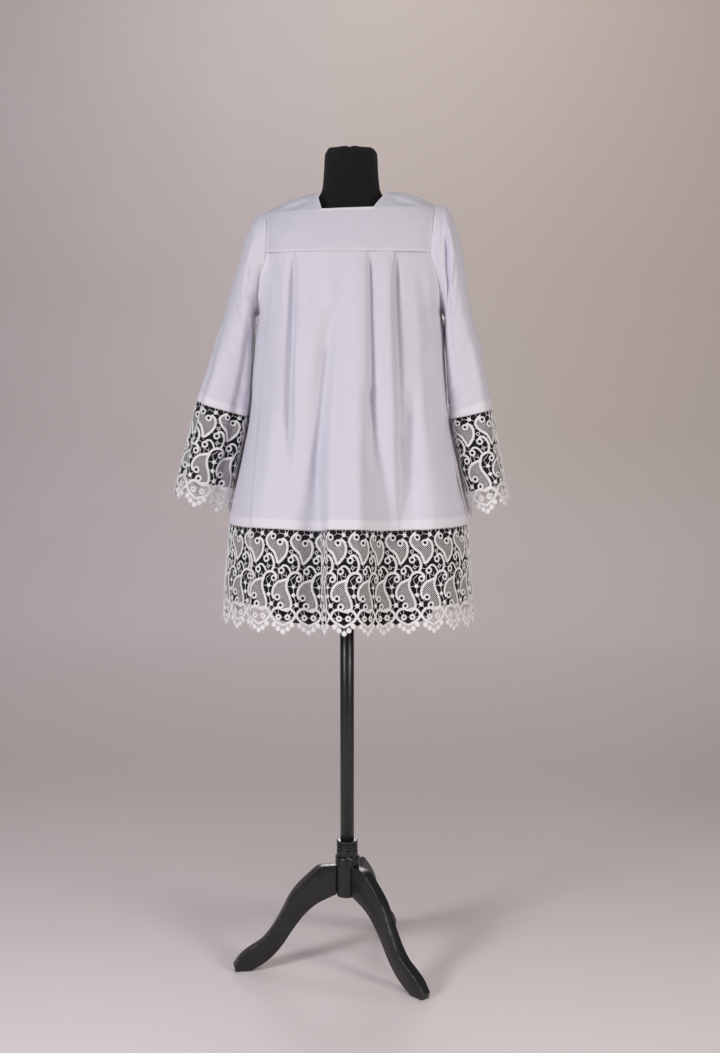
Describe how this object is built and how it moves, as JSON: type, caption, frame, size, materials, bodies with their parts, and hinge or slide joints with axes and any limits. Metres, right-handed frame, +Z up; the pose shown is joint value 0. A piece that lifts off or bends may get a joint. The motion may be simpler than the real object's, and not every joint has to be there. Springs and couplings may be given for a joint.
{
  "type": "lace-trimmed surplice on a limbless dress form and tripod stand",
  "caption": "White surplice with a square yoke, wide sleeves and deep lace at hem and cuffs, worn by a limbless dress form on a tripod stand.",
  "frame": {"origin": "bottom centre of the bounding box, on the floor between the three feet", "axes": "+Z up; the front of the surplice faces -Y; +X is to the viewer's right"},
  "size_m": [0.698, 0.4767, 1.699],
  "materials": {
    "white_cloth": "soft sheen, fine plain weave",
    "white_lace": "matt corded guipure lace",
    "black_lining": "matt",
    "black_jersey": "matt knit",
    "black_paint": "satin black paint, worn at the edges"
  },
  "bodies": {
    "root": {"body_front": "white_cloth", "body_back": "white_cloth", "yoke_front": "white_cloth", "yoke_back": "white_cloth", "shoulder_strap_left": "white_cloth", "shoulder_strap_right": "white_cloth", "sleeve_left": "white_cloth", "sleeve_right": "white_cloth", "cuff_lace_left_front": "white_lace", "cuff_lace_left_back": "white_lace", "cuff_lace_right_front": "white_lace", "cuff_lace_right_back": "white_lace", "hem_lace_front": "white_lace", "hem_lace_back": "white_lace", "cuff_lining_left": "black_lining", "cuff_lining_right": "black_lining", "hem_lining_front": "black_lining", "hem_lining_back": "black_lining", "form": "black_jersey", "pole": "black_paint", "collar": "black_paint", "hub": "black_paint", "leg_left": "black_paint", "leg_right": "black_paint", "leg_rear": "black_paint"}
  },
  "joints": []
}
